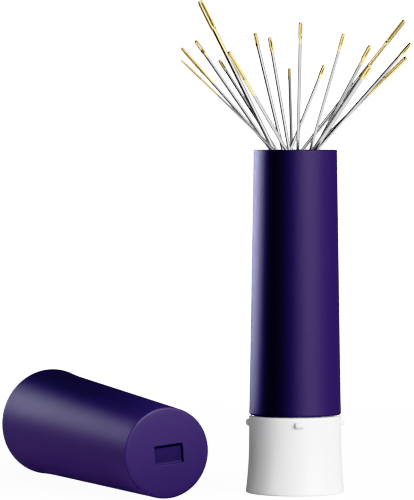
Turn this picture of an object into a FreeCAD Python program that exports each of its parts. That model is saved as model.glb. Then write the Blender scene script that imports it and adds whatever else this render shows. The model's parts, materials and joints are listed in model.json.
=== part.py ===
import FreeCAD, Part
import math
import os
from collections import namedtuple

"""Twist-up case for sewing needles, in millimetres, standing on its white base with +Z up.

The origin is the middle of the base's underside.  Twisting the violet tube on the base turns a cam
sleeve round a slotted guide, which draws a magnetic needle carrier down the tube.  The needles stand
on the carrier by their points and fan out over the mouth.  The cap lies beside the case along +Y.
"""

V = FreeCAD.Vector
X_AXIS = V(1, 0, 0)
Y_AXIS = V(0, 1, 0)
Z_AXIS = V(0, 0, 1)
ORIGIN = V(0, 0, 0)
FULL_TURN = 360

# Clearances
FIT_GAP = 0.03            # between pieces pressed or glued together, on the radius
RUN_GAP = 0.06            # between pieces that slide or turn on each other, on the radius
TURN_GAP = 0.2            # open line between the base and the turning tube
EDGE_BREAK = 0.25         # small round or chamfer on moulded edges

# Tube
TUBE_LENGTH = 66.2
TUBE_MOUTH_RADIUS = 10.48
TUBE_TAPER = 0.99         # gain of radius from the mouth down to the lip
TUBE_LIP = 0.09           # extra radius of the soft lip at the lower end
TUBE_LIP_HEIGHT = 3.4
TUBE_LIP_ROUND = 0.4
TUBE_WALL = 1.23          # at the mouth

# Base
BASE_HEIGHT = 19.4
BASE_SHOULDER_STEP = 0.02  # how far the base stands out past the tube's lip
BASE_FLARE = 0.8           # gain of radius from the neck to the foot
BASE_FLARE_HEIGHT = 13.5
BASE_FOOT_ROUND = 0.4
BASE_WALL = 1.4            # at the neck
SHOULDER_THICKNESS = 1.8
SHOULDER_ROUND = 0.5
COLLAR_STEP = 0.95         # the collar's seat in the tube is this much wider than the tube's bore
COLLAR_HEIGHT = 4.6
COVER_THICKNESS = 1.8
COVER_LEDGE = 0.6
LUG_COUNT = 4
LUG_WIDTH = 2.3
LUG_ROUND = 0.9            # radius of the half-round lug
LUG_REACH = 0.85
LUG_DROP = 1.8             # from the shoulder down to the lug's middle
LUG_HEADING = -111.5

# Rings on the collar
FRICTION_RING_THICKNESS = 1.0
FRICTION_RING_LIFT = 1.5   # from the shoulder up to the ring's middle
SNAP_RING_THICKNESS = 0.7
SNAP_RING_LIFT = 3.2
SNAP_RING_BITE = 0.6       # depth of the ring's groove in the collar
SNAP_RING_CATCH = 0.25     # how far the ring reaches into the tube
SNAP_RING_SPLIT = 3.0
GROOVE_SLACK = 0.2         # side play of a ring in its groove

# Lift
SLEEVE_WALL = 0.9
GUIDE_WALL = 0.8
GUIDE_FLANGE = 1.5
GUIDE_DROP = 0.5           # top of the guide below the needle pad
PIN_RADIUS = 1.0
PIN_END_GAP = 0.12         # from the pin's ends to the tube's bore
SLOT_GAP = 0.15            # slot wall to pin
SLOT_END_RELIEF = 0.05     # extra radius of the spiral slot's round ends
SLOT_FOOT_WALL = 1.45      # what is left of the sleeve under the slot

# Carrier
PAD_DEPTH = 4.8            # needle pad below the tube's mouth
PAD_THICKNESS = 0.6
MAGNET_THICKNESS = 4.0
KEEPER_THICKNESS = 1.0
CARRIER_FLOOR = 3.4
CARRIER_WALL = 0.7

# Needles
BUNCH_SIDE = 0.25          # the bunch of points stands off the case's axis, this far to -X
BUNCH_BACK = 0.13          # and this far to +Y
POINT_GAP = 0.05           # needle point above the pad
POINT_RADIUS = 0.06
POINT_LENGTH = 7.0
HEAD_NECK = 1.5            # from the shaft up to the eye
HEAD_TAPER = 1.25          # part of the neck in which the shaft widens
HEAD_FLAT = 0.8            # the head's thickness over the shaft's diameter
EYE_WIDTH = 0.34           # over the shaft's diameter
EYE_END = 0.9              # metal past the eye

# Cap
CAP_LENGTH = 73.0
CAP_WALL = 0.85
CAP_END = 1.6              # thickness of the closed end
CAP_HEAD_GAP = 0.02        # cap's inside, at its closed end, past the tube's mouth
CAP_LUG_GAP = 0.62         # cap to lugs at the rim
CAP_BELL = 0.28            # extra radius of the bell at the rim
CAP_BELL_LENGTH = 11.0
CAP_EDGE_ROUND = 0.5
CAP_BEAD = 0.6             # reach of the snap bead inside the rim
CAP_BEAD_RISE = 1.6        # bead's middle from the rim
RECESS_WIDTH = 7.6
RECESS_HEIGHT = 4.8
RECESS_DEPTH = 0.8
RECESS_ROLL = 5.5
RECESS_RIGHT = 0.55        # recess's middle from the end's middle, facing the end
RECESS_DOWN = 0.35
CAP_SIDE = 36.35            # from the case's axis to the lying cap's axis
CAP_FORWARD = 2.17          # the closed end lies this far towards -Y

# Needles by their look: length, diameter, the head's width over the diameter, lean from upright and its
# heading, then where the point stands, ahead of the bunch's middle along that heading and to the left of it.
# Last come the eye's length and the eye's turn about the shaft.
Needle = namedtuple("Needle", "length diameter swell lean heading ahead left eye eye_turn")
NEEDLES = [
    Needle(39.0, 0.60, 1.20, 46.0, 157, 0.3, 3.1, 5.0, -60),
    Needle(43.0, 0.80, 1.30, 45.0, 126, -0.3, 3.6, 7.0, -30),
    Needle(40.0, 0.85, 1.30, 36.5, 132, 1.0, 4.6, 2.0, -10),
    Needle(51.0, 1.25, 1.28, 33.5, 112, 0.8, 3.3, 7.0, 70),
    Needle(38.5, 1.00, 1.25, 41.5, -158, 1.0, 1.9, 7.0, 90),
    Needle(39.0, 0.80, 1.12, 45.0, 103, -0.4, 2.2, 2.2, 75),
    Needle(41.0, 0.95, 1.12, 33.0, 85, 0.3, 1.7, 2.2, 15),
    Needle(39.5, 0.92, 1.12, 32.5, 79, -0.5, 0.6, 2.2, -75),
    Needle(34.5, 0.80, 1.05, 42.5, 65, 1.5, 0.4, 2.0, 30),
    Needle(42.0, 0.90, 1.25, 31.0, -115, 0.3, 0.8, 2.6, -45),
    Needle(35.0, 0.90, 1.12, 41.5, 36, -0.7, 2.8, 2.2, -15),
    Needle(41.5, 0.82, 1.15, 37.0, -95, 1.5, 2.3, 2.4, -75),
    Needle(40.0, 0.92, 1.35, 40.5, -79, -0.4, 3.7, 2.6, 90),
    Needle(49.0, 1.00, 1.15, 40.0, -7, -0.1, 4.4, 6.0, -55),
    Needle(42.5, 0.85, 1.05, 42.5, -44, 0.5, 3.8, 2.2, 60),
    Needle(40.0, 0.95, 1.20, 45.5, -21, 0.2, 3.0, 6.0, -40),
    Needle(36.5, 1.28, 1.20, 45.5, -77, 0.3, 2.2, 2.6, 90),
]

# Heights and radii that follow from the sizes above
TUBE_BOTTOM = BASE_HEIGHT + TURN_GAP
TUBE_TOP = TUBE_BOTTOM + TUBE_LENGTH
TUBE_BORE = TUBE_MOUTH_RADIUS - TUBE_WALL
TUBE_FOOT = TUBE_MOUTH_RADIUS + TUBE_TAPER
COLLAR_SEAT = TUBE_BORE + COLLAR_STEP
COLLAR_RADIUS = COLLAR_SEAT - RUN_GAP
COLLAR_TOP = BASE_HEIGHT + COLLAR_HEIGHT
BASE_NECK = TUBE_FOOT + TUBE_LIP + BASE_SHOULDER_STEP
BASE_FOOT = BASE_NECK + BASE_FLARE
BASE_CAVITY = BASE_NECK - BASE_WALL
LUG_TIP = BASE_NECK + LUG_REACH
SLEEVE_RADIUS = TUBE_BORE - FIT_GAP
SLEEVE_BORE = SLEEVE_RADIUS - SLEEVE_WALL
GUIDE_RADIUS = SLEEVE_BORE - RUN_GAP
GUIDE_BORE = GUIDE_RADIUS - GUIDE_WALL
CARRIER_RADIUS = GUIDE_BORE - RUN_GAP
CARRIER_BORE = CARRIER_RADIUS - CARRIER_WALL
POINT_HEIGHT = TUBE_TOP - PAD_DEPTH
PAD_TOP = POINT_HEIGHT - POINT_GAP
MAGNET_TOP = PAD_TOP - PAD_THICKNESS
KEEPER_TOP = MAGNET_TOP - MAGNET_THICKNESS
FLOOR_TOP = KEEPER_TOP - KEEPER_THICKNESS
CARRIER_BOTTOM = FLOOR_TOP - CARRIER_FLOOR
PIN_HEIGHT = CARRIER_BOTTOM + CARRIER_FLOOR / 2
PIN_REACH = TUBE_BORE - PIN_END_GAP
SLOT_RADIUS = PIN_RADIUS + SLOT_GAP
GUIDE_TOP = PAD_TOP - GUIDE_DROP
SLEEVE_BOTTOM = COLLAR_TOP + TURN_GAP
SLEEVE_TOP = GUIDE_TOP - TURN_GAP
PIN_LOWEST = SLEEVE_BOTTOM + SLOT_FOOT_WALL + SLOT_RADIUS + SLOT_END_RELIEF
LIFT = PIN_HEIGHT - PIN_LOWEST  # travel of the carrier in one full twist
CAP_HEAD = TUBE_MOUTH_RADIUS + CAP_HEAD_GAP + CAP_WALL
CAP_RIM = LUG_TIP + CAP_LUG_GAP + CAP_WALL


def on_circle(centre, radius, degrees):
    """Point of a circle in the (radius, height) plane."""
    angle = math.radians(degrees)
    return (centre[0] + radius * math.cos(angle), centre[1] + radius * math.sin(angle))


def bend(centre, radius, start, end):
    """Arc run of an outline, about a centre, from one angle to another."""
    return (on_circle(centre, radius, (start + end) / 2), on_circle(centre, radius, end))


def turned(start, *runs):
    """Solid turned about Z from an outline of (radius, height) points; a pair of points is an arc."""
    edges = []
    here = V(start[0], 0, start[1])
    for run in runs + (start,):
        if isinstance(run[0], tuple):
            through, end = [V(point[0], 0, point[1]) for point in run]
            edges.append(Part.Arc(here, through, end).toShape())
        else:
            end = V(run[0], 0, run[1])
            edges.append(Part.LineSegment(here, end).toShape())
        here = end
    return Part.Face(Part.Wire(edges)).revolve(ORIGIN, Z_AXIS, FULL_TURN)


def disc(radius, bottom, top, edge=0.0):
    """Round plate with both edges chamfered."""
    if edge == 0:
        return Part.makeCylinder(radius, top - bottom, V(0, 0, bottom))
    return turned((0, bottom), (radius - edge, bottom), (radius, bottom + edge),
                  (radius, top - edge), (radius - edge, top), (0, top))


def ring(inner, outer, bottom, top):
    """Plain square-edged ring."""
    return turned((inner, bottom), (outer, bottom), (outer, top), (inner, top))


def radial_rod(radius, start, end, height):
    """Round rod along X between two distances from the axis."""
    return Part.makeCylinder(radius, end - start, V(start, 0, height), X_AXIS)


def both_sides(shape):
    """A shape and its copy turned half a turn about Z."""
    twin = shape.copy()
    twin.rotate(ORIGIN, Z_AXIS, FULL_TURN / 2)
    return [shape, twin]


def base_flare():
    """Hollow sweep from the foot up to the neck, upright where it meets the neck."""
    height = BASE_FLARE_HEIGHT - BASE_FOOT_ROUND
    sweep = (BASE_FLARE ** 2 + height ** 2) / (2 * BASE_FLARE)
    drop = math.degrees(math.asin(height / sweep))
    return bend((BASE_NECK + sweep, BASE_FLARE_HEIGHT), sweep, FULL_TURN / 2 + drop, FULL_TURN / 2)


def base_lug(heading):
    """Half-round lug lying across the neck, with its ends rounded off."""
    middle = V(BASE_NECK + LUG_REACH - LUG_ROUND, -LUG_WIDTH / 2, BASE_HEIGHT - LUG_DROP)
    lug = Part.makeCylinder(LUG_ROUND, LUG_WIDTH, middle, Y_AXIS)
    round_edges = [edge for edge in lug.Edges if edge.Closed and edge.Length > LUG_ROUND]
    lug = lug.makeFillet(LUG_ROUND / 2, round_edges)
    lug.rotate(ORIGIN, Z_AXIS, heading)
    return lug


def base_skirt():
    """White flared base: skirt, shoulder with its lugs, and the collar that the tube turns on."""
    cover_seat = BASE_CAVITY + COVER_LEDGE
    ceiling = BASE_HEIGHT - SHOULDER_THICKNESS
    snap_seat = COLLAR_RADIUS - SNAP_RING_BITE
    snap_low = BASE_HEIGHT + SNAP_RING_LIFT - SNAP_RING_THICKNESS / 2 - FIT_GAP
    snap_high = snap_low + SNAP_RING_THICKNESS + 2 * FIT_GAP
    friction_seat = COLLAR_SEAT - RUN_GAP / 2 - FRICTION_RING_THICKNESS - FIT_GAP
    friction_low = BASE_HEIGHT + FRICTION_RING_LIFT - FRICTION_RING_THICKNESS / 2 - FIT_GAP
    friction_high = friction_low + FRICTION_RING_THICKNESS + 2 * FIT_GAP
    collar_bore = GUIDE_RADIUS + FIT_GAP
    skirt = turned(
        (cover_seat, 0), (BASE_FOOT - BASE_FOOT_ROUND, 0),
        bend((BASE_FOOT - BASE_FOOT_ROUND, BASE_FOOT_ROUND), BASE_FOOT_ROUND, -90, 0),
        base_flare(), (BASE_NECK, BASE_HEIGHT - SHOULDER_ROUND),
        bend((BASE_NECK - SHOULDER_ROUND, BASE_HEIGHT - SHOULDER_ROUND), SHOULDER_ROUND, 0, 90),
        (COLLAR_RADIUS, BASE_HEIGHT),
        (COLLAR_RADIUS, friction_low), (friction_seat, friction_low),
        (friction_seat, friction_high), (COLLAR_RADIUS, friction_high),
        (COLLAR_RADIUS, snap_low), (snap_seat, snap_low),
        (snap_seat, snap_high), (COLLAR_RADIUS, snap_high),
        (COLLAR_RADIUS, COLLAR_TOP), (collar_bore, COLLAR_TOP),
        (collar_bore, ceiling), (BASE_CAVITY, ceiling),
        (BASE_CAVITY, COVER_THICKNESS), (cover_seat, COVER_THICKNESS))
    lugs = [base_lug(LUG_HEADING + FULL_TURN * number / LUG_COUNT) for number in range(LUG_COUNT)]
    core = disc(BASE_NECK - BASE_WALL / 2, 0, BASE_HEIGHT)
    return skirt.fuse([lug.cut(core) for lug in lugs]).removeSplitter()


def bottom_cover():
    """Flat plate that closes the base and is what the case stands on."""
    return disc(BASE_CAVITY + COVER_LEDGE - FIT_GAP, 0, COVER_THICKNESS, EDGE_BREAK)


def guide_tube():
    """Slotted guide, glued in the base, which keeps the carrier from turning."""
    flange_top = COVER_THICKNESS + GUIDE_FLANGE
    guide = turned(
        (GUIDE_BORE, COVER_THICKNESS), (BASE_CAVITY - FIT_GAP, COVER_THICKNESS),
        (BASE_CAVITY - FIT_GAP, flange_top), (GUIDE_RADIUS, flange_top),
        (GUIDE_RADIUS, GUIDE_TOP), (GUIDE_BORE, GUIDE_TOP))
    window = Part.makeBox(GUIDE_RADIUS + RUN_GAP, 2 * SLOT_RADIUS, LIFT,
                          V(0, -SLOT_RADIUS, PIN_LOWEST))
    for height in (PIN_HEIGHT, PIN_LOWEST):
        window = window.fuse(radial_rod(SLOT_RADIUS, 0, GUIDE_RADIUS + RUN_GAP, height))
    return guide.cut(both_sides(window))


def friction_ring():
    """Rubber ring on the collar that makes the twist stay where it is left."""
    section = FRICTION_RING_THICKNESS / 2
    middle = COLLAR_SEAT - RUN_GAP / 2 - section
    return Part.makeTorus(middle, section, V(0, 0, BASE_HEIGHT + FRICTION_RING_LIFT))


def snap_ring():
    """Split ring in the collar's groove that keeps the tube from lifting off the base."""
    low = BASE_HEIGHT + SNAP_RING_LIFT - SNAP_RING_THICKNESS / 2
    inner = COLLAR_RADIUS - SNAP_RING_BITE + FIT_GAP
    whole = ring(inner, COLLAR_SEAT + SNAP_RING_CATCH, low, low + SNAP_RING_THICKNESS)
    split = Part.makeBox(2 * COLLAR_SEAT, SNAP_RING_SPLIT, SNAP_RING_THICKNESS,
                         V(0, -SNAP_RING_SPLIT / 2, low))
    return whole.cut(split)


def outer_tube():
    """Violet tapered tube with a soft lip at its lower end."""
    catch = COLLAR_SEAT + SNAP_RING_CATCH + GROOVE_SLACK
    catch_low = BASE_HEIGHT + SNAP_RING_LIFT - SNAP_RING_THICKNESS / 2 - GROOVE_SLACK
    catch_high = catch_low + SNAP_RING_THICKNESS + 2 * GROOVE_SLACK
    seat_top = COLLAR_TOP + TURN_GAP
    lip = TUBE_FOOT + TUBE_LIP
    lip_centre = (lip - TUBE_LIP_ROUND, TUBE_BOTTOM + TUBE_LIP_ROUND)
    mouth_outer = (TUBE_MOUTH_RADIUS - EDGE_BREAK, TUBE_TOP - EDGE_BREAK)
    mouth_inner = (TUBE_BORE + EDGE_BREAK, TUBE_TOP - EDGE_BREAK)
    return turned(
        (COLLAR_SEAT, TUBE_BOTTOM), (lip - TUBE_LIP_ROUND, TUBE_BOTTOM),
        bend(lip_centre, TUBE_LIP_ROUND, -90, 0),
        (TUBE_FOOT, TUBE_BOTTOM + TUBE_LIP_HEIGHT),
        (TUBE_MOUTH_RADIUS, TUBE_TOP - EDGE_BREAK),
        bend(mouth_outer, EDGE_BREAK, 0, 90), (TUBE_BORE + EDGE_BREAK, TUBE_TOP),
        bend(mouth_inner, EDGE_BREAK, 90, 180),
        (TUBE_BORE, seat_top), (COLLAR_SEAT, seat_top),
        (COLLAR_SEAT, catch_high), (catch, catch_high),
        (catch, catch_low), (COLLAR_SEAT, catch_low))


def cam_slot():
    """Spiral slot for one end of the drive pin: a bar swept up one full twist, with round ends."""
    middle = (SLEEVE_BORE + SLEEVE_RADIUS) / 2
    spiral = Part.makeHelix(LIFT, LIFT, middle)
    climb = math.atan2(LIFT, 2 * math.pi * middle)
    across = V(0, -math.sin(climb), math.cos(climb)) * SLOT_RADIUS
    deep = V(SLEEVE_WALL, 0, 0)
    start = V(middle, 0, 0)
    corners = [start - deep - across, start + deep - across, start + deep + across, start - deep + across]
    section = Part.makePolygon(corners + corners[:1])
    bar = Part.Wire(spiral.Edges).makePipeShell([section], True, True)
    bar.translate(V(0, 0, PIN_LOWEST))
    end_radius = SLOT_RADIUS + SLOT_END_RELIEF
    ends = [radial_rod(end_radius, middle - SLEEVE_WALL, middle + SLEEVE_WALL, height)
            for height in (PIN_LOWEST, PIN_HEIGHT)]
    return [bar] + ends


def cam_sleeve():
    """Sleeve glued in the tube; its two spiral slots drive the carrier's pin up and down."""
    sleeve = ring(SLEEVE_BORE, SLEEVE_RADIUS, SLEEVE_BOTTOM, SLEEVE_TOP)
    for piece in cam_slot():
        sleeve = sleeve.cut(both_sides(piece))
    return sleeve


def drive_pin():
    """Steel pin through the carrier's floor; its ends run in the guide's and the sleeve's slots."""
    return radial_rod(PIN_RADIUS, -PIN_REACH, PIN_REACH, PIN_HEIGHT)


def carrier_cup():
    """Cup that holds the magnet and slides in the guide."""
    cup = turned(
        (0, CARRIER_BOTTOM), (CARRIER_RADIUS - EDGE_BREAK, CARRIER_BOTTOM),
        (CARRIER_RADIUS, CARRIER_BOTTOM + EDGE_BREAK), (CARRIER_RADIUS, PAD_TOP - EDGE_BREAK),
        (CARRIER_RADIUS - EDGE_BREAK, PAD_TOP), (CARRIER_BORE, PAD_TOP),
        (CARRIER_BORE, FLOOR_TOP), (0, FLOOR_TOP))
    return cup.cut(radial_rod(PIN_RADIUS, -CARRIER_RADIUS, CARRIER_RADIUS, PIN_HEIGHT))


def keeper_plate():
    """Steel plate behind the magnet."""
    return disc(CARRIER_BORE - FIT_GAP, FLOOR_TOP, KEEPER_TOP)


def magnet():
    """Disc magnet that the needles stand on."""
    return disc(CARRIER_BORE - FIT_GAP, KEEPER_TOP, MAGNET_TOP, EDGE_BREAK)


def point_pad():
    """Thin plate over the magnet, under the needle points."""
    return disc(CARRIER_BORE - FIT_GAP, MAGNET_TOP, PAD_TOP)


def needle(one):
    """Sewing needle standing on its point: taper, shaft and flattened head with a long eye."""
    shaft = one.diameter / 2
    head = shaft * one.swell
    head_length = one.eye + EYE_END + HEAD_NECK
    head_low = one.length - head_length
    flat_low = head_low + HEAD_TAPER
    body = turned(
        (0, 0), (POINT_RADIUS, 0), (shaft, POINT_LENGTH), (shaft, head_low),
        (head, flat_low), (head, one.length - head),
        bend((0, one.length - head), head, 0, 90))
    half_flat = shaft * HEAD_FLAT
    for side in (half_flat, -half_flat - head):
        body = body.cut(Part.makeBox(4 * head, head, head_length, V(-2 * head, side, flat_low)))
    half_eye = shaft * EYE_WIDTH
    eye_top = one.length - EYE_END - half_eye
    eye_low = eye_top - one.eye + 2 * half_eye
    eye = Part.makeBox(2 * half_eye, 2 * head, eye_top - eye_low, V(-half_eye, -head, eye_low))
    for height in (eye_low, eye_top):
        eye = eye.fuse(Part.makeCylinder(half_eye, 2 * head, V(0, -head, height), Y_AXIS))
    body = body.cut(eye)
    body.rotate(ORIGIN, Z_AXIS, one.eye_turn)
    body.rotate(ORIGIN, Y_AXIS, one.lean)
    body.translate(V(one.ahead, one.left, POINT_HEIGHT))
    body.rotate(ORIGIN, Z_AXIS, one.heading)
    body.translate(V(-BUNCH_SIDE, BUNCH_BACK, 0))
    return body


def cap_outline():
    """Cap standing on its closed end: cone, bell out to the rim, and a snap bead inside."""
    bell_low = CAP_LENGTH - CAP_BELL_LENGTH
    slope = (CAP_RIM - CAP_BELL - CAP_HEAD) / CAP_LENGTH
    bell_start = CAP_HEAD + slope * bell_low
    bell_middle = (CAP_HEAD + slope * (bell_low + CAP_BELL_LENGTH / 2) + CAP_BELL / 4,
                   bell_low + CAP_BELL_LENGTH / 2)
    rim_side = CAP_LENGTH - CAP_EDGE_ROUND
    bead = CAP_LENGTH - CAP_BEAD_RISE
    inside_rim = CAP_RIM - CAP_WALL
    inside_bell = bell_start - CAP_WALL
    bead_slope = (inside_rim - inside_bell) / CAP_BELL_LENGTH
    bead_low = (inside_rim - bead_slope * (CAP_BEAD_RISE + CAP_BEAD), bead - CAP_BEAD)
    bead_high = (inside_rim - bead_slope * (CAP_BEAD_RISE - CAP_BEAD), bead + CAP_BEAD)
    bead_top = (inside_rim - bead_slope * CAP_BEAD_RISE - CAP_BEAD, bead)
    return turned(
        (0, 0), (CAP_HEAD - CAP_EDGE_ROUND, 0),
        bend((CAP_HEAD - CAP_EDGE_ROUND, CAP_EDGE_ROUND), CAP_EDGE_ROUND, -90, 0),
        (bell_start, bell_low), (bell_middle, (CAP_RIM, rim_side)),
        bend((CAP_RIM - CAP_EDGE_ROUND, rim_side), CAP_EDGE_ROUND, 0, 90),
        (inside_rim, CAP_LENGTH), bead_high, (bead_top, bead_low),
        (inside_bell, bell_low), (CAP_HEAD - CAP_WALL + slope * CAP_END, CAP_END), (0, CAP_END))


def cap_shell():
    """Violet cap, taken off and lying on its rim and its end's edge, with a bare recess in that end."""
    recess = Part.makeBox(RECESS_WIDTH, RECESS_HEIGHT, RECESS_DEPTH,
                          V(-RECESS_WIDTH / 2, -RECESS_HEIGHT / 2, 0))
    recess.rotate(ORIGIN, Z_AXIS, -RECESS_ROLL)
    recess.translate(V(RECESS_RIGHT, RECESS_DOWN, 0))
    cap = cap_outline().cut(recess)
    pitch = math.atan2(CAP_RIM - CAP_HEAD, CAP_LENGTH - 2 * CAP_EDGE_ROUND)
    cap.rotate(ORIGIN, X_AXIS, math.degrees(pitch) - 90)
    end_radius = CAP_HEAD - CAP_EDGE_ROUND
    height = CAP_EDGE_ROUND + end_radius * math.cos(pitch) - CAP_EDGE_ROUND * math.sin(pitch)
    cap.translate(V(-CAP_SIDE, -CAP_FORWARD, height))
    return cap


def main():
    os.makedirs("parts", exist_ok=True)
    single_pieces = [base_skirt, bottom_cover, guide_tube, friction_ring, snap_ring, outer_tube, cam_sleeve,
                     carrier_cup, drive_pin, keeper_plate, magnet, point_pad, cap_shell]
    shapes = {make.__name__: make() for make in single_pieces}
    for number, one in enumerate(NEEDLES, 1):
        shapes["needle_%02d" % number] = needle(one)
    for name, shape in shapes.items():
        shape.exportStep("parts/%s.step" % name)
    return shapes


main()
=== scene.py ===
import json
import math
from collections import namedtuple

import bpy
import numpy as np
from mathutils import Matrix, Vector


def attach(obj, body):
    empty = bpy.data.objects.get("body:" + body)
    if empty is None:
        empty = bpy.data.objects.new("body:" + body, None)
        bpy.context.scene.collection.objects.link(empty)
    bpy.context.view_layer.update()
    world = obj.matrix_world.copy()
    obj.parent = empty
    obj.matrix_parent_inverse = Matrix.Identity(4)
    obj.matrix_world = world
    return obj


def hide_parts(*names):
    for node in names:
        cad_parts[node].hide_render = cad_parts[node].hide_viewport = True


# Looks of the twist-up sewing needle case, in metres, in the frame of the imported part.
# The tube, base, cap and needles get smooth surfaces of their own; the lift inside keeps its solids.

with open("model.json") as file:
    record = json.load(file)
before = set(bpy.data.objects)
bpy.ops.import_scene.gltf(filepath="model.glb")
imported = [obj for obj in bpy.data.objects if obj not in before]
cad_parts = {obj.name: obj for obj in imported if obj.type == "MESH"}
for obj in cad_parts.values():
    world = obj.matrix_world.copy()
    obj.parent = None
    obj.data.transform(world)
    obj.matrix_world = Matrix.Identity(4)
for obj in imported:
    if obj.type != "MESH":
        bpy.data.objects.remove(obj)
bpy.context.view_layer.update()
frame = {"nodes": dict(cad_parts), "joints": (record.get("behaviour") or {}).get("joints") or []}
MM = 0.001

# Tube: radii, and heights over the floor
TUBE_BOTTOM = 19.6 * MM
TUBE_TOP = 85.8 * MM
TUBE_MOUTH = 10.48 * MM
TUBE_FOOT = 11.47 * MM
TUBE_LIP = 11.56 * MM
TUBE_LIP_HEIGHT = 3.4 * MM
TUBE_LIP_ROUND = 0.4 * MM
TUBE_BORE = 9.25 * MM
TUBE_SEAT = 10.2 * MM
TUBE_SEAT_TOP = 24.2 * MM
EDGE_ROUND = 0.25 * MM
ROUND_SIDES = 160              # of the tube and the base

# Base
BASE_NECK = 11.58 * MM
BASE_FOOT = 12.38 * MM
BASE_TOP = 19.4 * MM
SHOULDER_ROUND = 0.5 * MM
BASE_FLARE_TOP = 13.5 * MM
BASE_FOOT_ROUND = 0.4 * MM
BASE_CAVITY = 10.18 * MM
BASE_COVER_SEAT = 10.78 * MM
BASE_COVER_TOP = 1.8 * MM
BASE_CEILING = 17.6 * MM
COLLAR_RADIUS = 10.14 * MM
COLLAR_BORE = 8.29 * MM
COLLAR_TOP = 24.0 * MM
LUG_HEADINGS = np.radians([-111.5, -21.5, 68.5, 158.5])
LUG_HEIGHT = 17.6 * MM
LUG_TIP = 12.43 * MM
LUG_HALF = np.array([0.9, 1.15, 0.9]) * MM
LUG_BLUNT_ALONG = 0.45
LUG_BLUNT_AROUND = 0.9

# Cap, lying on its rim and on the edge of its closed end
CAP_LENGTH = 73.0 * MM
CAP_HEAD = 11.35 * MM
CAP_RIM = 13.9 * MM
CAP_BELL = 0.28 * MM
CAP_BELL_LENGTH = 11.0 * MM
CAP_WALL = 0.85 * MM
CAP_END = 1.6 * MM
CAP_ROUND = 0.5 * MM
CAP_BEAD = 0.6 * MM
CAP_BEAD_RISE = 1.6 * MM
CAP_PLACE = np.array([-36.35, -2.17, 0.0]) * MM
CAP_SIDES = 256
CAP_FACE_ROWS = 8
CAP_INSIDE_POLE = 0.2          # last row inside the end, as a share of the inside's radius
RECESS_HALF = np.array([3.8, 2.4]) * MM
RECESS_DEPTH = 0.8 * MM
RECESS_SHIFT = np.array([0.55, 0.35]) * MM     # to the right and down, facing the end
RECESS_ROLL = math.radians(5.5)
RECESS_SQUARENESS = 24.0
RECESS_EDGE = 0.06 * MM
# Rows of the recess from its middle out to the end face: share of its outline, and depth
RECESS_ROWS = (
    (0.3, RECESS_DEPTH), (0.7, RECESS_DEPTH), (0.93, RECESS_DEPTH), (0.985, RECESS_DEPTH - RECESS_EDGE),
    (0.99, RECESS_DEPTH / 2), (0.995, 2 * RECESS_EDGE), (1.0, RECESS_EDGE), (1.015, RECESS_EDGE / 4),
    (1.035, 0), (1.08, 0),
)

# Needles: length, diameter, the head's width over it, length of the eye and its turn about the shaft, and
# length of the gold plating
Needle = namedtuple("Needle", "length diameter swell eye eye_turn gold")
NEEDLES = {
    "needle_01": Needle(39.0, 0.60, 1.20, 5.0, -60, 12.6),
    "needle_02": Needle(43.0, 0.80, 1.30, 7.0, -30, 13.0),
    "needle_03": Needle(40.0, 0.85, 1.30, 2.0, -10, 5.4),
    "needle_04": Needle(51.0, 1.25, 1.28, 7.0, 70, 17.0),
    "needle_05": Needle(38.5, 1.00, 1.25, 7.0, 90, 14.0),
    "needle_06": Needle(39.0, 0.80, 1.12, 2.2, 75, 3.6),
    "needle_07": Needle(41.0, 0.95, 1.12, 2.2, 15, 4.3),
    "needle_08": Needle(39.5, 0.92, 1.12, 2.2, -75, 5.2),
    "needle_09": Needle(34.5, 0.80, 1.05, 2.0, 30, 3.5),
    "needle_10": Needle(42.0, 0.90, 1.25, 2.6, -45, 5.9),
    "needle_11": Needle(35.0, 0.90, 1.12, 2.2, -15, 5.3),
    "needle_12": Needle(41.5, 0.82, 1.15, 2.4, -75, 5.1),
    "needle_13": Needle(40.0, 0.92, 1.35, 2.6, 90, 5.9),
    "needle_14": Needle(49.0, 1.00, 1.15, 6.0, -55, 14.9),
    "needle_15": Needle(42.5, 0.85, 1.05, 2.2, 60, 5.0),
    "needle_16": Needle(40.0, 0.95, 1.20, 6.0, -40, 14.0),
    "needle_17": Needle(36.5, 1.28, 1.20, 2.6, 90, 4.8),
}
POINT_DROP = 46.5 * MM         # how far the point goes down while the needle gathers
POINT_RADIUS = 0.06 * MM
POINT_LENGTH = 7.0 * MM
HEAD_NECK = 1.5 * MM
HEAD_FLAT = 0.8
EYE_WIDTH = 0.34
EYE_END = 0.9 * MM
PLATING_EDGE = 0.25 * MM
NEEDLE_SIDES = 24
TAPER_END = 1.35               # the shaft's end follows a cosine up to this angle
EYE_SQUARENESS = 6
HEAD_SQUARENESS = 5
HEAD_BLUNT = 0.7

# Finishes
VIOLET = (0.036, 0.023, 0.086)
# Painted shade: factor that darkens the colour in the cap's recess, standing in for the shadow there
PAINTED_RECESS_SHADE = (0.66, 0.66, 0.70, 1)
STEEL = (0.56, 0.56, 0.57, 1)
GOLD = (1.0, 0.80, 0.38, 1)
PLASTIC_RELIEF = 0.03 * MM
METAL_RELIEF = 0.01 * MM
CLOUD_SCALE = 60.0

# Camera and light, seen from the case: to the camera's right, away from it, and up
CAMERA_TURN = math.radians(27.0)
CAMERA_PLACE = (0.0, -0.920, 0.092)
CAMERA_AIM = (-0.022066, 0.0, 0.060671)
FOCAL_PIXELS = 3680.0
PHOTO_HEIGHT = 500
SENSOR = 36.0
WALLS = 0.03
CEILING = 0.5
CEILING_LEAN = (0.6, 0.0, 0.8)
CEILING_EDGE = (0.45, 0.8)
FLOOR_REACH = 8.0
PAPER = (0.45, 0.45, 0.45, 1)
GLOW_NEAR = 1.25
GLOW_REACH = (0.1, 0.7)
KEY_PLACE = (0.98, -0.92, 0.45)
KEY_SIZE = (1.1, 0.9)
CASE_MIDDLE = (0, 0, 0.05)
BASE_MIDDLE = (0, 0, 0.01)
FAN_MIDDLE = (0, 0, 0.11)
WHITE = (1, 1, 1)
COOL = (0.72, 0.74, 1.0)
MILD = (0.94, 1.0, 0.90)
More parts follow.
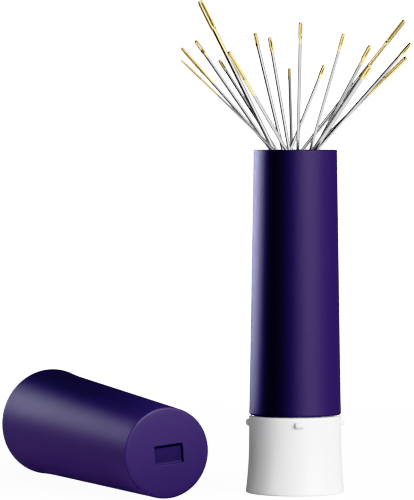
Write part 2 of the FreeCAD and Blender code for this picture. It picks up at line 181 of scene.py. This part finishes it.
STRAW = (0.86, 1.0, 0.58)
TONE_WHITE = 2.0
TONE = ((0.02, 0.001), (0.04, 0.006), (0.06, 0.024), (0.08, 0.052), (0.14, 0.137), (0.25, 0.27), (0.5, 0.58),
        (0.8, 0.83), (1.2, 0.95))


def from_camera(right, away, up):
    """Point given from the camera's side, in the part's frame: a turn about Z."""
    across = Vector((math.cos(CAMERA_TURN), -math.sin(CAMERA_TURN), 0))
    depth = Vector((math.sin(CAMERA_TURN), math.cos(CAMERA_TURN), 0))
    return across * right + depth * away + Vector((0, 0, up))


def face(made, place, aim):
    """Puts a lamp or the camera at a place, facing a point; both are given from the camera's side."""
    made.location = from_camera(*place)
    made.rotation_euler = (from_camera(*aim) - made.location).to_track_quat("-Z", "Y").to_euler()


# Surfaces

def arc(centre, radius, start, end, steps=7):
    """Points of a circle about a centre from one angle to another, in degrees."""
    angle = np.radians(np.linspace(start, end, steps))
    return np.stack([centre[0] + radius * np.cos(angle), centre[1] + radius * np.sin(angle)], -1)


def run(start, end, steps=2):
    """Points of a straight line, drawn together at both ends so that shading stays flat beside a round."""
    share = (1 - np.cos(np.linspace(0, math.pi, steps + 4))) / 2
    return np.asarray(start) + share[:, None] * (np.asarray(end) - np.asarray(start))


def turn_z(angle):
    """Matrix that turns row vectors about Z."""
    cos, sin = math.cos(angle), math.sin(angle)
    return np.array([[cos, sin, 0], [-sin, cos, 0], [0, 0, 1]])


def blunt(value, power):
    """Size of a value raised to a power with its sign kept; a power below one squares a circle off."""
    return np.sign(value) * np.abs(value) ** power


def lathe(profile, sides):
    """Profile of (radius, height) carried round Z: x and y are the radius times cosine and sine."""
    angle = np.linspace(0, 2 * math.pi, sides, endpoint=False)
    radius, height = profile[:, :1], profile[:, 1:]
    x = radius * np.cos(angle)
    return np.stack([x, radius * np.sin(angle), np.broadcast_to(height, x.shape)], -1)


def grid_faces(rows, columns, loop, first=0):
    """Quads of a grid whose columns always close; its rows close too if it is a loop."""
    row = np.arange(rows if loop else rows - 1)[:, None] * columns
    above = (row + columns) % (rows * columns)
    column = np.arange(columns)[None, :]
    beside = (column + 1) % columns
    corners = np.broadcast_arrays(row + column, row + beside, above + beside, above + column)
    return (np.stack(corners, -1) + first).reshape(-1, 4)


def fan_faces(row, columns, pole, first, flip):
    """Triangles from one row of a grid to a pole."""
    column = np.arange(columns)
    beside = (column + 1) % columns
    near, far = (beside, column) if flip else (column, beside)
    return np.stack([row * columns + near + first, row * columns + far + first, np.full(columns, pole)], -1)


def piece(name, shells, stands_for, body, attributes=None):
    """One object from closed shells; each is (grid of points, is a loop, start pole, end pole)."""
    points, faces, first = [], [], 0
    for grid, loop, start, end in shells:
        rows, columns = grid.shape[:2]
        points.append(grid.reshape(-1, 3))
        faces += grid_faces(rows, columns, loop, first).tolist()
        extra = first + rows * columns
        for pole, row, flip in ((start, 0, True), (end, rows - 1, False)):
            if pole is not None:
                points.append(np.asarray(pole, float).reshape(1, 3))
                faces += fan_faces(row, columns, extra, first, flip).tolist()
                extra += 1
        first = extra
    mesh = bpy.data.meshes.new(name)
    mesh.from_pydata(np.concatenate(points).tolist(), [], faces)
    mesh.polygons.foreach_set("use_smooth", np.ones(len(mesh.polygons), bool))
    for key, values in (attributes or {}).items():
        mesh.attributes.new(key, "FLOAT", "POINT").data.foreach_set("value", values.astype(np.float32))
    mesh.update()
    made = bpy.data.objects.new(name, mesh)
    bpy.context.scene.collection.objects.link(made)
    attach(made, body)
    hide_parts(stands_for)
    return made


def tube_surface():
    """Closed wall: up the tapered outside, round the mouth, down the bore and over the collar's seat."""
    lip = (TUBE_LIP - TUBE_LIP_ROUND, TUBE_BOTTOM + TUBE_LIP_ROUND)
    outer_mouth = (TUBE_MOUTH - EDGE_ROUND, TUBE_TOP - EDGE_ROUND)
    inner_mouth = (TUBE_BORE + EDGE_ROUND, TUBE_TOP - EDGE_ROUND)
    profile = np.concatenate([
        run((TUBE_SEAT, TUBE_BOTTOM), (lip[0], TUBE_BOTTOM)),
        arc(lip, TUBE_LIP_ROUND, -90, 0)[1:],
        run((TUBE_LIP, lip[1]), (TUBE_FOOT, TUBE_BOTTOM + TUBE_LIP_HEIGHT))[1:],
        run((TUBE_FOOT, TUBE_BOTTOM + TUBE_LIP_HEIGHT), (TUBE_MOUTH, outer_mouth[1]), 24)[1:],
        arc(outer_mouth, EDGE_ROUND, 0, 90)[1:],
        arc(inner_mouth, EDGE_ROUND, 90, 180),
        run((TUBE_BORE, inner_mouth[1]), (TUBE_BORE, TUBE_SEAT_TOP), 12)[1:],
        run((TUBE_BORE, TUBE_SEAT_TOP), (TUBE_SEAT, TUBE_SEAT_TOP))[1:],
        run((TUBE_SEAT, TUBE_SEAT_TOP), (TUBE_SEAT, TUBE_BOTTOM))[1:-1],
    ])
    return lathe(profile, ROUND_SIDES)


def base_surface():
    """Closed wall: over the foot, up the hollow flare to the shoulder, up the collar and back down inside.

    The flare is an arc that meets the neck upright.
    """
    foot = (BASE_FOOT - BASE_FOOT_ROUND, BASE_FOOT_ROUND)
    rise = BASE_FLARE_TOP - BASE_FOOT_ROUND
    sweep = ((BASE_FOOT - BASE_NECK) ** 2 + rise ** 2) / (2 * (BASE_FOOT - BASE_NECK))
    drop = math.degrees(math.asin(rise / sweep))
    shoulder = (BASE_NECK - SHOULDER_ROUND, BASE_TOP - SHOULDER_ROUND)
    profile = np.concatenate([
        run((BASE_COVER_SEAT, 0), (foot[0], 0)),
        arc(foot, BASE_FOOT_ROUND, -90, 0)[1:],
        arc((BASE_NECK + sweep, BASE_FLARE_TOP), sweep, 180 + drop, 180, 24)[1:],
        run((BASE_NECK, BASE_FLARE_TOP), (BASE_NECK, shoulder[1]), 6)[1:],
        arc(shoulder, SHOULDER_ROUND, 0, 90)[1:],
        run((shoulder[0], BASE_TOP), (COLLAR_RADIUS, BASE_TOP))[1:],
        run((COLLAR_RADIUS, BASE_TOP), (COLLAR_RADIUS, COLLAR_TOP))[1:],
        run((COLLAR_RADIUS, COLLAR_TOP), (COLLAR_BORE, COLLAR_TOP))[1:],
        run((COLLAR_BORE, COLLAR_TOP), (COLLAR_BORE, BASE_CEILING))[1:],
        run((COLLAR_BORE, BASE_CEILING), (BASE_CAVITY, BASE_CEILING))[1:],
        run((BASE_CAVITY, BASE_CEILING), (BASE_CAVITY, BASE_COVER_TOP))[1:],
        run((BASE_CAVITY, BASE_COVER_TOP), (BASE_COVER_SEAT, BASE_COVER_TOP))[1:],
        run((BASE_COVER_SEAT, BASE_COVER_TOP), (BASE_COVER_SEAT, 0))[1:-1],
    ])
    return lathe(profile, ROUND_SIDES)


def lug_surface(heading):
    """Rounded block across the neck: a ball with its coordinates raised to a power below one."""
    rows = np.linspace(-math.pi / 2, math.pi / 2, 26)[1:-1, None]
    around = np.linspace(0, 2 * math.pi, 40, endpoint=False)[None, :]
    width = blunt(np.cos(rows), LUG_BLUNT_ALONG)
    out = width * blunt(np.cos(around), LUG_BLUNT_AROUND)
    up = width * blunt(np.sin(around), LUG_BLUNT_AROUND)
    along = np.broadcast_to(blunt(np.sin(rows), LUG_BLUNT_ALONG), out.shape)
    middle = np.array([LUG_TIP - LUG_HALF[0], 0, LUG_HEIGHT])
    side = np.array([0, LUG_HALF[1], 0])
    local = np.stack([out, along, up], -1) * LUG_HALF + middle
    turn = turn_z(heading)
    return (local @ turn)[:, ::-1], False, (middle - side) @ turn, (middle + side) @ turn


def recess_outline(angle):
    """Radius of a rectangle with rounded corners at each angle: a superellipse of high power."""
    across = np.abs(np.cos(angle)) / RECESS_HALF[0]
    up = np.abs(np.sin(angle)) / RECESS_HALF[1]
    return (across ** RECESS_SQUARENESS + up ** RECESS_SQUARENESS) ** (-1 / RECESS_SQUARENESS)


def cap_profile():
    """Profile of (radius, depth) from the end's rounded edge: cone, bell, rim, bead and back inside.

    The bell adds the square of the way along it to the cone, and the bead is half a circle on the wall.
    """
    slope = (CAP_RIM - CAP_BELL - CAP_HEAD) / CAP_LENGTH
    bell_low = CAP_LENGTH - CAP_BELL_LENGTH
    bell_start = CAP_HEAD + slope * bell_low
    share = np.linspace(0, 1, 14)[1:]
    bell_radius = bell_start + share * slope * CAP_BELL_LENGTH + share ** 2 * CAP_BELL
    bell = np.stack([bell_radius, bell_low + share * (CAP_BELL_LENGTH - CAP_ROUND)], -1)
    inside_rim = CAP_RIM - CAP_WALL
    inside_bell = bell_start - CAP_WALL
    inside_end = CAP_HEAD - CAP_WALL + slope * CAP_END
    lean = (inside_rim - inside_bell) / CAP_BELL_LENGTH
    across = np.linspace(1, -1, 13)
    wall = inside_rim - lean * (CAP_BEAD_RISE - across * CAP_BEAD)
    bead_depth = CAP_LENGTH - CAP_BEAD_RISE + across * CAP_BEAD
    bead = np.stack([wall - CAP_BEAD * np.sqrt(1 - across ** 2), bead_depth], -1)
    return np.concatenate([
        arc((CAP_HEAD - CAP_ROUND, CAP_ROUND), CAP_ROUND, -90, 0)[1:],
        run((CAP_HEAD, CAP_ROUND), (bell_start, bell_low), 30)[1:],
        bell,
        arc((CAP_RIM - CAP_ROUND, CAP_LENGTH - CAP_ROUND), CAP_ROUND, 0, 90)[1:],
        run((CAP_RIM - CAP_ROUND, CAP_LENGTH), (inside_rim, CAP_LENGTH))[1:],
        bead,
        run(bead[-1], (inside_bell, bell_low), 6)[1:],
        run((inside_bell, bell_low), (inside_end, CAP_END), 20)[1:],
        run((inside_end, CAP_END), (CAP_INSIDE_POLE * inside_end, CAP_END), 6)[1:],
    ])


def cap_surface():
    """Cap grown from the middle of its recess: rounded rectangle, end face, then the profile carried round.

    Each row is a radius and a depth round the axis; the rows of the end face slide from the recess's middle
    to the axis. The mask is one in the recess and nought elsewhere.
    """
    angle = np.linspace(0, 2 * math.pi, CAP_SIDES, endpoint=False)
    rectangle = recess_outline(angle)
    inner = np.array([[share * rectangle, np.full(CAP_SIDES, depth)] for share, depth in RECESS_ROWS])
    flat = np.linspace(0.1, 1, CAP_FACE_ROWS)[:, None]
    start = inner[-1, 0]
    face_radius = start + flat * (CAP_HEAD - CAP_ROUND - start)
    end_face = np.stack([face_radius, np.zeros_like(face_radius)], 1)
    profile = cap_profile()
    turned = np.broadcast_to(profile[:, :, None], profile.shape + (CAP_SIDES,))
    whole = np.concatenate([inner, end_face, turned])
    around = angle - RECESS_ROLL
    grid = np.stack([whole[:, 0] * np.cos(around), whole[:, 0] * np.sin(around), whole[:, 1]], -1)
    shift = np.concatenate([np.ones(len(inner)), 1 - flat[:, 0]])
    grid[:len(shift), :, :2] += (shift[:, None] * RECESS_SHIFT)[:, None, :]
    poles = np.array([[*RECESS_SHIFT, RECESS_DEPTH], [0, 0, CAP_END]])
    # Mask of the recess, where the colour gets a painted shade
    sunk = np.concatenate([inner[:, 1, 0] > RECESS_EDGE, np.zeros(len(whole) - len(inner))])
    mask = np.append(np.repeat(sunk, CAP_SIDES), (1, 0))
    return lay_cap(grid), lay_cap(poles), mask


def lay_cap(points):
    """Turns the cap's own axis from +Z down to +Y, pitched so that its rim and its end touch the floor."""
    pitch = math.atan2(CAP_RIM - CAP_HEAD, CAP_LENGTH - 2 * CAP_ROUND)
    tip = pitch - math.pi / 2
    x, y, z = points[..., 0], points[..., 1], points[..., 2]
    height = CAP_ROUND + (CAP_HEAD - CAP_ROUND) * math.cos(pitch) - CAP_ROUND * math.sin(pitch)
    away = y * math.cos(tip) - z * math.sin(tip)
    up = y * math.sin(tip) + z * math.cos(tip)
    return np.stack([x, away, up + height], -1) + CAP_PLACE


def needle_shaft(one):
    """Shaft of a needle along Z: an ogive point, a straight shaft and a short taper up to the eye."""
    radius = one.diameter * MM / 2
    length = one.length * MM
    top = length - EYE_END - one.eye * MM
    plating = length - one.gold * MM + np.linspace(-1, 1, 5) * PLATING_EDGE
    share = np.linspace(0, 1, 12)
    ogive = POINT_RADIUS + (radius - POINT_RADIUS) * np.sin(share * math.pi / 2)
    point = np.stack([ogive, share * POINT_LENGTH], -1)
    straight = np.concatenate([np.linspace(POINT_LENGTH, top - HEAD_NECK, 20)[1:], plating])
    straight = np.unique(np.round(straight, 5))
    straight = straight[(straight > POINT_LENGTH) & (straight < top)]
    shaft = np.stack([np.full(len(straight), radius), straight], -1)
    fade = np.linspace(0, 1, 7)[1:]
    taper = np.stack([radius * np.cos(fade * TAPER_END), straight[-1] + fade * (top - straight[-1])], -1)
    return lathe(np.concatenate([point, shaft, taper]), NEEDLE_SIDES), False, (0, 0, 0), (0, 0, top)


def needle_head(one):
    """Flat head round the eye: a ring of rounded section between the slot's outline and the head's outline.

    Both outlines are superellipses.
    """
    radius = one.diameter * MM / 2
    length = one.length * MM
    around = np.linspace(0, 2 * math.pi, 72, endpoint=False)[:, None]
    section = np.linspace(0, 2 * math.pi, 16, endpoint=False)[None, :]

    def outline(half_width, low, high, power):
        bulge = (np.abs(np.cos(around)) ** power + np.abs(np.sin(around)) ** power) ** (-1 / power)
        along = (low + high) / 2 + bulge * (high - low) / 2 * np.sin(around)
        return bulge * half_width * np.cos(around), along

    eye_low = length - EYE_END - one.eye * MM
    eye_x, eye_z = outline(radius * EYE_WIDTH, eye_low, length - EYE_END, EYE_SQUARENESS)
    head_x, head_z = outline(radius * one.swell, eye_low - HEAD_NECK, length, HEAD_SQUARENESS)
    share = (1 + blunt(np.cos(section), HEAD_BLUNT)) / 2
    x = eye_x + share * (head_x - eye_x)
    z = eye_z + share * (head_z - eye_z)
    y = np.broadcast_to(radius * HEAD_FLAT * blunt(np.sin(section), HEAD_BLUNT), x.shape)
    return np.stack([x, y, z], -1)


def stand(points, one, joint):
    """Needle's own points placed where its joint says: turned about the shaft, leant, then headed."""
    lean = math.radians(joint["range_deg"][1])
    ahead = np.array([-joint["axis"][1], joint["axis"][0], 0])
    tilt = np.array([[math.cos(lean), 0, -math.sin(lean)], [0, 1, 0], [math.sin(lean), 0, math.cos(lean)]])
    reach = ahead * POINT_DROP / 2 / math.tan(lean / 2)
    foot = np.array(joint["pos_m"]) - reach + np.array([0, 0, POINT_DROP / 2])
    heading = math.atan2(ahead[1], ahead[0])
    return np.asarray(points) @ turn_z(math.radians(one.eye_turn)) @ tilt @ turn_z(heading) + foot


def make_needle(name, one, joint):
    """Needle with its plating mask: one past the plating's edge, nought before it, smooth between."""
    shaft, loop, low, high = needle_shaft(one)
    head = needle_head(one)
    along = np.concatenate([shaft[..., 2].ravel(), [low[2], high[2]], head[..., 2].ravel()])
    edge = (one.length - one.gold) * MM
    share = np.clip((along - edge) / PLATING_EDGE / 2 + 0.5, 0, 1)
    plating = share * share * (3 - 2 * share)
    shells = [(stand(shaft, one, joint), loop, stand(low, one, joint), stand(high, one, joint)),
              (stand(head, one, joint), True, None, None)]
    return piece("bright_" + name, shells, name, name, {"plating": plating})


# Materials

def group(name, inputs, outputs):
    """Empty shader node group with named sockets, and its input and output nodes."""
    made = bpy.data.node_groups.new(name, "ShaderNodeTree")
    for label, kind, value in inputs:
        socket = made.interface.new_socket(label, in_out="INPUT", socket_type=kind)
        socket.default_value = value
    for label, kind in outputs:
        made.interface.new_socket(label, in_out="OUTPUT", socket_type=kind)
    return made, made.nodes.new("NodeGroupInput"), made.nodes.new("NodeGroupOutput")


def node(tree, kind, links=(), **settings):
    """New node with its properties set and (input, output socket or plain value) pairs joined."""
    made = tree.nodes.new(kind)
    for key, value in settings.items():
        setattr(made, key, value)
    for name, value in links:
        if isinstance(value, bpy.types.NodeSocket):
            tree.links.new(value, made.inputs[name])
        else:
            made.inputs[name].default_value = value
    return made


def maths(tree, operation, *values):
    """Output of a maths node on sockets or plain values."""
    return node(tree, "ShaderNodeMath", enumerate(values), operation=operation).outputs[0]


def moulded_grain():
    """Moulded plastic: slow clouding of the colour, speckled roughness and a fine sparked grain."""
    tree, given, out = group(
        "moulded_grain",
        [("Colour", "NodeSocketColor", (1, 1, 1, 1)), ("Clouding", "NodeSocketFloat", 0.06),
         ("Roughness", "NodeSocketFloat", 0.4), ("Speckle", "NodeSocketFloat", 0.06),
         ("Grain", "NodeSocketFloat", 3000.0)],
        [("Colour", "NodeSocketColor"), ("Roughness", "NodeSocketFloat"), ("Height", "NodeSocketFloat")])
    place = node(tree, "ShaderNodeTexCoord").outputs["Object"]
    cloud = node(tree, "ShaderNodeTexNoise",
                 [("Vector", place), ("Scale", CLOUD_SCALE), ("Detail", 3.0), ("Roughness", 0.55)])
    fine = node(tree, "ShaderNodeTexNoise",
                [("Vector", place), ("Scale", given.outputs["Grain"]), ("Detail", 2.0)])
    swing = maths(tree, "SUBTRACT", cloud.outputs["Fac"], 0.5)
    amount = maths(tree, "MULTIPLY", swing, given.outputs["Clouding"])
    value = maths(tree, "ADD", amount, 1.0)
    shade = node(tree, "ShaderNodeHueSaturation", [("Color", given.outputs["Colour"]), ("Value", value)])
    dots = maths(tree, "SUBTRACT", fine.outputs["Fac"], 0.5)
    rough = maths(tree, "MULTIPLY_ADD", dots, given.outputs["Speckle"], given.outputs["Roughness"])
    tree.links.new(shade.outputs["Color"], out.inputs["Colour"])
    tree.links.new(rough, out.inputs["Roughness"])
    tree.links.new(fine.outputs["Fac"], out.inputs["Height"])
    return tree


def polish_marks():
    """Polished metal: cloudy roughness with fine marks, and a faint ripple."""
    tree, given, out = group(
        "polish_marks",
        [("Roughness", "NodeSocketFloat", 0.2), ("Marks", "NodeSocketFloat", 0.12),
         ("Scale", "NodeSocketFloat", 2500.0)],
        [("Roughness", "NodeSocketFloat"), ("Height", "NodeSocketFloat")])
    place = node(tree, "ShaderNodeTexCoord").outputs["Object"]
    marks = node(tree, "ShaderNodeTexNoise",
                 [("Vector", place), ("Scale", given.outputs["Scale"]), ("Detail", 4.0), ("Roughness", 0.7)])
    swing = maths(tree, "SUBTRACT", marks.outputs["Fac"], 0.5)
    rough = maths(tree, "MULTIPLY_ADD", swing, given.outputs["Marks"], given.outputs["Roughness"])
    tree.links.new(rough, out.inputs["Roughness"])
    tree.links.new(marks.outputs["Fac"], out.inputs["Height"])
    return tree


def material(name, **sockets):
    """New material; plain values go straight to its shader's sockets."""
    made = bpy.data.materials.new(name)
    made.use_nodes = True
    shader = made.node_tree.nodes["Principled BSDF"]
    for socket, value in sockets.items():
        shader.inputs[socket.replace("_", " ")].default_value = value
    return made, made.node_tree, shader


def bump(tree, shader, height, strength, distance):
    """Bump from a height to the shader's normal."""
    made = node(tree, "ShaderNodeBump", [("Height", height), ("Strength", strength), ("Distance", distance)])
    tree.links.new(made.outputs["Normal"], shader.inputs["Normal"])


def plastic(name, colour, roughness, clouding, speckle, grain, relief, **sockets):
    """Moulded plastic of one colour."""
    made, tree, shader = material(name, **sockets)
    look = node(tree, "ShaderNodeGroup", node_tree=MOULDED_GRAIN)
    for label, value in (("Colour", colour + (1,)), ("Clouding", clouding), ("Roughness", roughness),
                         ("Speckle", speckle), ("Grain", grain)):
        look.inputs[label].default_value = value
    tree.links.new(look.outputs["Colour"], shader.inputs["Base Color"])
    tree.links.new(look.outputs["Roughness"], shader.inputs["Roughness"])
    bump(tree, shader, look.outputs["Height"], relief, PLASTIC_RELIEF)
    return made


def paint_recess_shade(made):
    """Painted shade in the cap's recess: the colour is multiplied down where the recess mask says."""
    tree = made.node_tree
    shader = tree.nodes["Principled BSDF"]
    plain = shader.inputs["Base Color"].links[0].from_socket
    mask = node(tree, "ShaderNodeAttribute", attribute_name="recess")
    deep = node(tree, "ShaderNodeMix", [(0, mask.outputs["Fac"]), (6, plain), (7, PAINTED_RECESS_SHADE)],
                data_type="RGBA", blend_type="MULTIPLY")
    tree.links.new(deep.outputs[2], shader.inputs["Base Color"])


def metal(name, colour, roughness, marks, scale, relief):
    """Polished metal of one colour."""
    made, tree, shader = material(name, Base_Color=colour + (1,), Metallic=1.0)
    polish(tree, shader, roughness, marks, scale, relief)
    return made


def polish(tree, shader, roughness, marks, scale, relief):
    """Joins the polish marks to a shader."""
    look = node(tree, "ShaderNodeGroup", node_tree=POLISH_MARKS)
    for label, value in (("Roughness", roughness), ("Marks", marks), ("Scale", scale)):
        look.inputs[label].default_value = value
    tree.links.new(look.outputs["Roughness"], shader.inputs["Roughness"])
    bump(tree, shader, look.outputs["Height"], relief, METAL_RELIEF)


def needle_metal():
    """Nickel-plated steel that turns to gold plate where the plating mask says."""
    made, tree, shader = material("needle_steel_and_gold", Metallic=1.0)
    mask = node(tree, "ShaderNodeAttribute", attribute_name="plating")
    tone = node(tree, "ShaderNodeMix", [(0, mask.outputs["Fac"]), (6, STEEL), (7, GOLD)], data_type="RGBA")
    tree.links.new(tone.outputs[2], shader.inputs["Base Color"])
    polish(tree, shader, roughness=0.16, marks=0.1, scale=6000.0, relief=0.03)
    return made


def dress(names, look):
    """Gives CAD solids that stay in view a material."""
    for name in names:
        shown = frame["nodes"][name].data
        shown.materials.clear()
        shown.materials.append(look)


# Studio

def soft_light(name, place, aim, size, power, tint=WHITE, only=(), but=(), shaded_by=(), matt=True,
               gloss=True):
    """Area light facing a point; it lights only the pieces in only, or everything but those in but.

    Pieces in shaded_by, if any, are the only ones that cast a shadow in it. Without matt it gives gloss
    alone, and without gloss it gives colour alone.
    """
    lamp = bpy.data.lights.new(name, "AREA")
    lamp.shape = "RECTANGLE"
    lamp.size, lamp.size_y = size
    lamp.energy = power
    lamp.color = tint
    made = bpy.data.objects.new(name, lamp)
    face(made, place, aim)
    made.visible_camera = False
    made.visible_diffuse = matt
    made.visible_glossy = gloss
    if only or but:
        lit = bpy.data.collections.new(name + "_lights")
        made.light_linking.receiver_collection = lit
        for one in list(only) + list(but):
            lit.objects.link(one)
        for entry in lit.collection_objects:
            entry.light_linking.link_state = "INCLUDE" if only else "EXCLUDE"
    if shaded_by:
        made.light_linking.blocker_collection = bpy.data.collections.new(name + "_shade")
        for one in shaded_by:
            made.light_linking.blocker_collection.objects.link(one)
    bpy.context.scene.collection.objects.link(made)


def pale_floor():
    """White floor: grey paper lit by the lamps, with a glow that grows to full white away from the case."""
    reach = FLOOR_REACH
    corners = [(-reach, -reach, 0), (reach, -reach, 0), (reach, reach, 0), (-reach, reach, 0)]
    mesh = bpy.data.meshes.new("floor")
    mesh.from_pydata(corners, [], [(0, 1, 2, 3)])
    floor = bpy.data.objects.new("floor", mesh)
    bpy.context.scene.collection.objects.link(floor)
    paper, tree, shader = material("pale_paper", Base_Color=PAPER, Roughness=0.8, Emission_Color=(1, 1, 1, 1))
    place = node(tree, "ShaderNodeTexCoord").outputs["Object"]
    distance = node(tree, "ShaderNodeVectorMath", [(0, place)], operation="LENGTH")
    glow = node(tree, "ShaderNodeMapRange",
                [("Value", distance.outputs["Value"]), ("From Min", GLOW_REACH[0]),
                 ("From Max", GLOW_REACH[1]), ("To Min", GLOW_NEAR), ("To Max", TONE_WHITE)],
                interpolation_type="SMOOTHSTEP")
    path = node(tree, "ShaderNodeLightPath")
    seen = maths(tree, "MULTIPLY", glow.outputs["Result"], path.outputs["Is Camera Ray"])
    tree.links.new(seen, shader.inputs["Emission Strength"])
    mesh.materials.append(paper)


def white_surround():
    """World that looks white, and lights the object with a soft ceiling over dim walls."""
    world = bpy.data.worlds.new("surround")
    world.use_nodes = True
    bpy.context.scene.world = world
    tree = world.node_tree
    lean = from_camera(*CEILING_LEAN).normalized()
    sky = node(tree, "ShaderNodeTexCoord").outputs["Generated"]
    height = node(tree, "ShaderNodeVectorMath", [(0, sky), (1, lean)], operation="DOT_PRODUCT")
    ceiling = node(tree, "ShaderNodeMapRange",
                   [("Value", height.outputs["Value"]), ("From Min", CEILING_EDGE[0]),
                    ("From Max", CEILING_EDGE[1]), ("To Min", WALLS), ("To Max", CEILING)],
                   interpolation_type="SMOOTHSTEP")
    path = node(tree, "ShaderNodeLightPath")
    strength = node(tree, "ShaderNodeMapRange",
                    [("Value", path.outputs["Is Camera Ray"]), ("To Min", ceiling.outputs["Result"]),
                     ("To Max", TONE_WHITE)])
    background = tree.nodes["Background"]
    background.inputs["Color"].default_value = (1, 1, 1, 1)
    tree.links.new(strength.outputs["Result"], background.inputs["Strength"])


def photo_tone():
    """Tone curve of the photograph: deep shadows and a soft shoulder below white."""
    view = bpy.context.scene.view_settings
    view.view_transform = "Standard"
    view.use_curve_mapping = True
    mapping = view.curve_mapping
    mapping.white_level = (TONE_WHITE,) * 3
    curve = mapping.curves[3]       # the one for all three colours
    for light, shown in TONE:
        curve.points.new(light / TONE_WHITE, shown)
    mapping.update()


def studio():
    """White floor and surround, lamps for the tube, cap and base, and cards that the needles mirror."""
    photo_tone()
    white_surround()
    pale_floor()
    soft_light("key_right_front", KEY_PLACE, CASE_MIDDLE, KEY_SIZE, 22.5, but=bright + [cap, tube])
    soft_light("gloss_tube", (0.68, -1.16, 0.22), CASE_MIDDLE, (1.4, 0.7), 19.0, only=[tube], matt=False)
    soft_light("colour_tube", (1.09, -0.79, 0.30), CASE_MIDDLE, (0.7, 0.6), 18.5, only=[tube], gloss=False)
    soft_light("panel_left_back", (-0.42, 0.36, 0.15), (0, 0, 0.06), (0.26, 0.29), 1.5, COOL, only=[tube])
    soft_light("strip_left_back", (-0.20, 0.14, 0.12), (0, 0, 0.09), (0.16, 0.17), 0.9, COOL, only=[tube])
    soft_light("panel_cap", (-0.16, 0.10, 0.063), (-0.06, 0.01, 0.02), (0.06, 0.055), 0.074, COOL, only=[cap])
    soft_light("fill_cap", (-0.55, -0.20, -0.45), (-0.05, 0, 0.01), (0.4, 0.3), 9.4, STRAW,
               only=[cap], shaded_by=[cap], gloss=False)
    soft_light("key_cap", KEY_PLACE, CASE_MIDDLE, KEY_SIZE, 4.0, only=[cap])
    soft_light("lamp_disc", (-0.005, -0.09, 0.072), (-0.03, -0.02, 0.012), (0.025, 0.025), 0.125, MILD,
               only=[cap])
    soft_light("fill_base", (-0.60, -0.50, 0.20), BASE_MIDDLE, (0.4, 0.4), 1.3, only=[base])
    soft_light("fill_left", (-0.42, 0.42, 0.04), BASE_MIDDLE, (0.2, 0.1), 0.55,
               only=[base], shaded_by=[base], gloss=False)
    soft_light("fill_back", (0.0, 0.90, 0.03), BASE_MIDDLE, (0.3, 0.05), 3.8, only=[base])
    soft_light("fill_inside", (-0.304, 0.518, 0.016), (-0.06, 0.04, 0.014), (0.2, 0.03), 4.5,
               only=[cap], shaded_by=[cap], gloss=False)
    soft_light("card_front", (0.10, -0.70, 1.02), FAN_MIDDLE, (1.3, 1.0), 5.0, only=bright, shaded_by=bright)
    soft_light("card_right", (0.80, 0.10, 0.25), FAN_MIDDLE, (0.8, 0.6), 2.2, only=bright, shaded_by=bright)
    soft_light("card_low", (0.0, -0.13, 0.002), (0, -0.13, 1.0), (0.5, 0.26), 0.33,
               only=bright, shaded_by=bright)


def camera():
    """Camera at the photograph's place, aim and field of view."""
    data = bpy.data.cameras.new("camera")
    data.sensor_width = SENSOR
    data.lens = SENSOR * FOCAL_PIXELS / PHOTO_HEIGHT
    made = bpy.data.objects.new("camera", data)
    face(made, CAMERA_PLACE, CAMERA_AIM)
    bpy.context.scene.collection.objects.link(made)
    bpy.context.scene.camera = made


MOULDED_GRAIN = moulded_grain()
POLISH_MARKS = polish_marks()
violet = plastic("violet_plastic", VIOLET, roughness=0.58, clouding=0.10, speckle=0.10, grain=2600.0,
                 relief=0.10, Specular_IOR_Level=0.43, Specular_Tint=(0.88, 0.83, 1.0, 1))
# Painted shade darkens the violet in the cap's recess
paint_recess_shade(violet)
white = plastic("white_plastic", (0.86, 0.86, 0.86), roughness=0.30, clouding=0.03, speckle=0.06,
                grain=1800.0, relief=0.05)
natural = plastic("natural_plastic", (0.74, 0.73, 0.68), roughness=0.38, clouding=0.05, speckle=0.08,
                  grain=1500.0, relief=0.08)
dark = plastic("dark_plate", (0.030, 0.030, 0.034), roughness=0.45, clouding=0.15, speckle=0.15,
               grain=2200.0, relief=0.15)
rubber = plastic("black_rubber", (0.018, 0.018, 0.018), roughness=0.75, clouding=0.2, speckle=0.12,
                 grain=1600.0, relief=0.25)
spring = metal("spring_steel", (0.55, 0.55, 0.57), roughness=0.28, marks=0.15, scale=2200.0, relief=0.10)
zinc = metal("zinc_steel", (0.60, 0.61, 0.63), roughness=0.38, marks=0.25, scale=900.0, relief=0.15)
nickel = metal("nickel_magnet", (0.64, 0.62, 0.57), roughness=0.24, marks=0.15, scale=1400.0, relief=0.10)
needles = needle_metal()

tube = piece("moulded_tube", [(tube_surface(), True, None, None)], "outer_tube", "tube")
tube.data.materials.append(violet)
base_shells = [(base_surface(), True, None, None)] + [lug_surface(heading) for heading in LUG_HEADINGS]
base = piece("moulded_base", base_shells, "base_skirt", "base")
base.data.materials.append(white)
cap_grid, cap_poles, cap_recess = cap_surface()
cap_shells = [(cap_grid, False, cap_poles[0], cap_poles[1])]
cap = piece("moulded_cap", cap_shells, "cap_shell", "cap", {"recess": cap_recess})
cap.data.materials.append(violet)
gather = {joint["child"]: joint for joint in frame["joints"]}
bright = [make_needle(name, one, gather[name]) for name, one in NEEDLES.items()]
for made in bright:
    made.data.materials.append(needles)

dress(["bottom_cover"], white)
dress(["guide_tube", "cam_sleeve", "carrier_cup"], natural)
dress(["point_pad"], dark)
dress(["friction_ring"], rubber)
dress(["snap_ring", "drive_pin"], spring)
dress(["keeper_plate"], zinc)
dress(["magnet"], nickel)

tube.visible_glossy = False       # the needles mirror the bright floor past the tube's mouth
studio()
camera()
